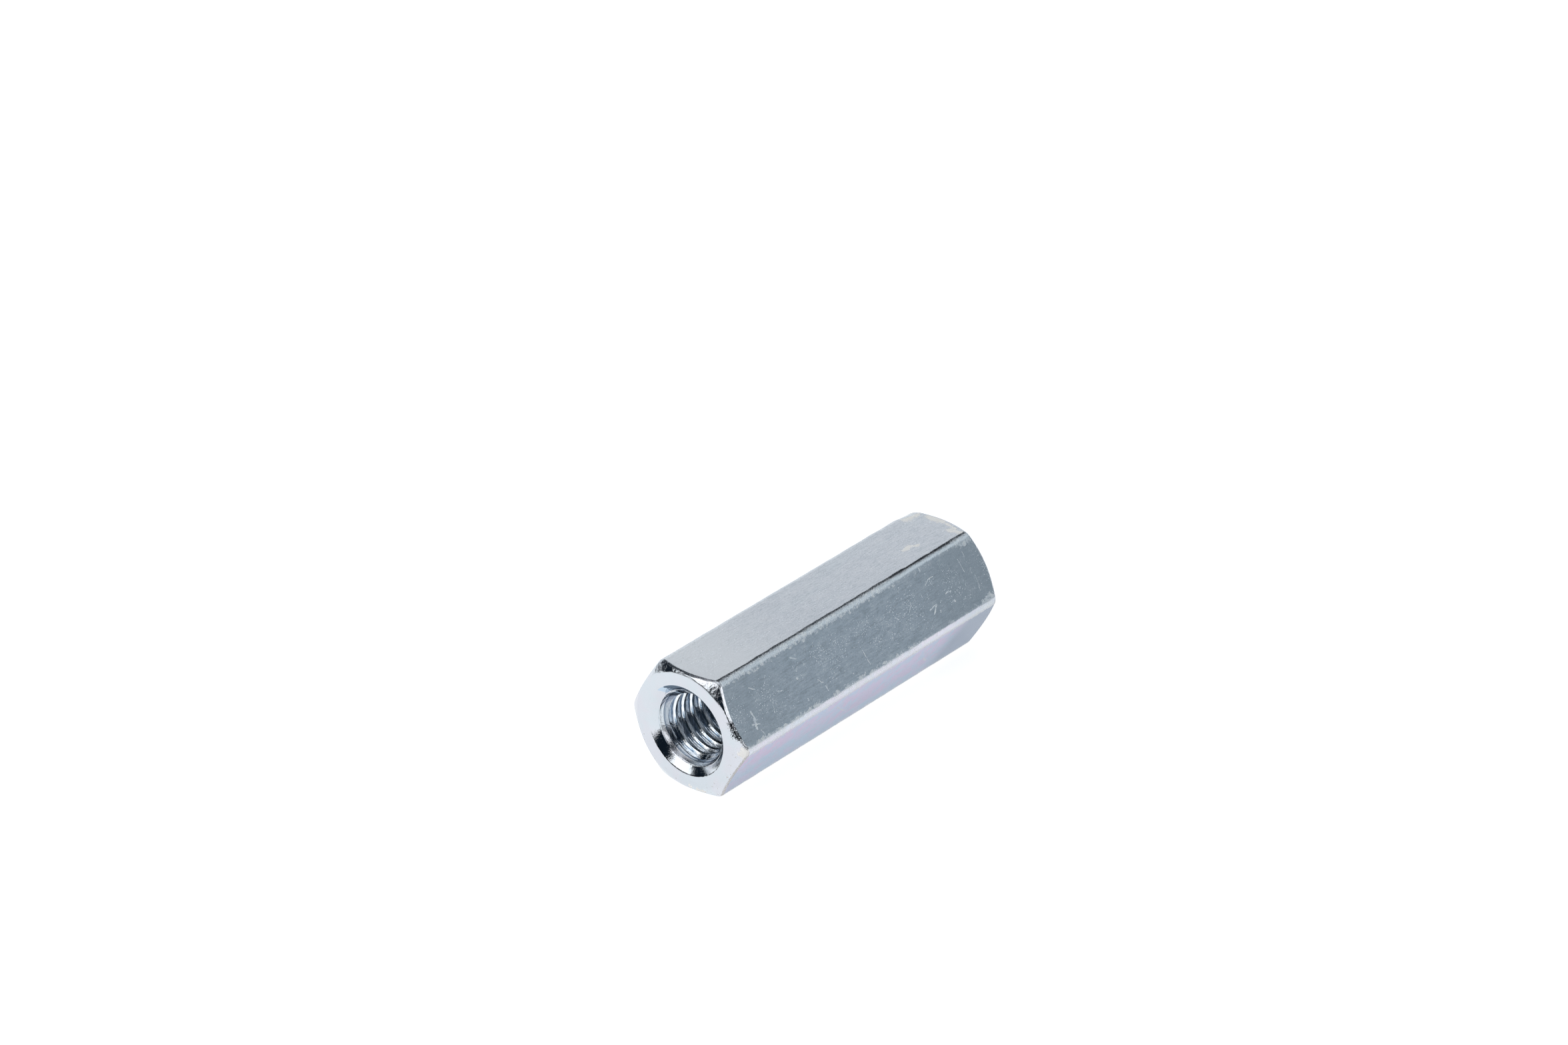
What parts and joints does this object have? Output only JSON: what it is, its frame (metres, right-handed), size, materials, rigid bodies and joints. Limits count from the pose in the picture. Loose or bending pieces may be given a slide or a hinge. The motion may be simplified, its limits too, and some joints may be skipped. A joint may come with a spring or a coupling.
{
  "type": "hexagon coupling nut",
  "caption": "Long hexagon nut in bright zinc-plated steel, threaded right through, with chamfered ends and countersunk mouths, for joining two threaded rods end to end.",
  "frame": {"origin": "middle of the bore, halfway between the two ends", "axes": "+X along the thread, +Z out of the upper flat, with the nut lying on the flat at the bottom"},
  "size_m": [0.04, 0.0148, 0.013],
  "materials": {
    "zinc_plate": "bright zinc plate with a pale blue passivation, satin on the drawn flats and glossy on the turned ends"
  },
  "bodies": {
    "root": {"coupling_nut": "zinc_plate"}
  },
  "joints": []
}
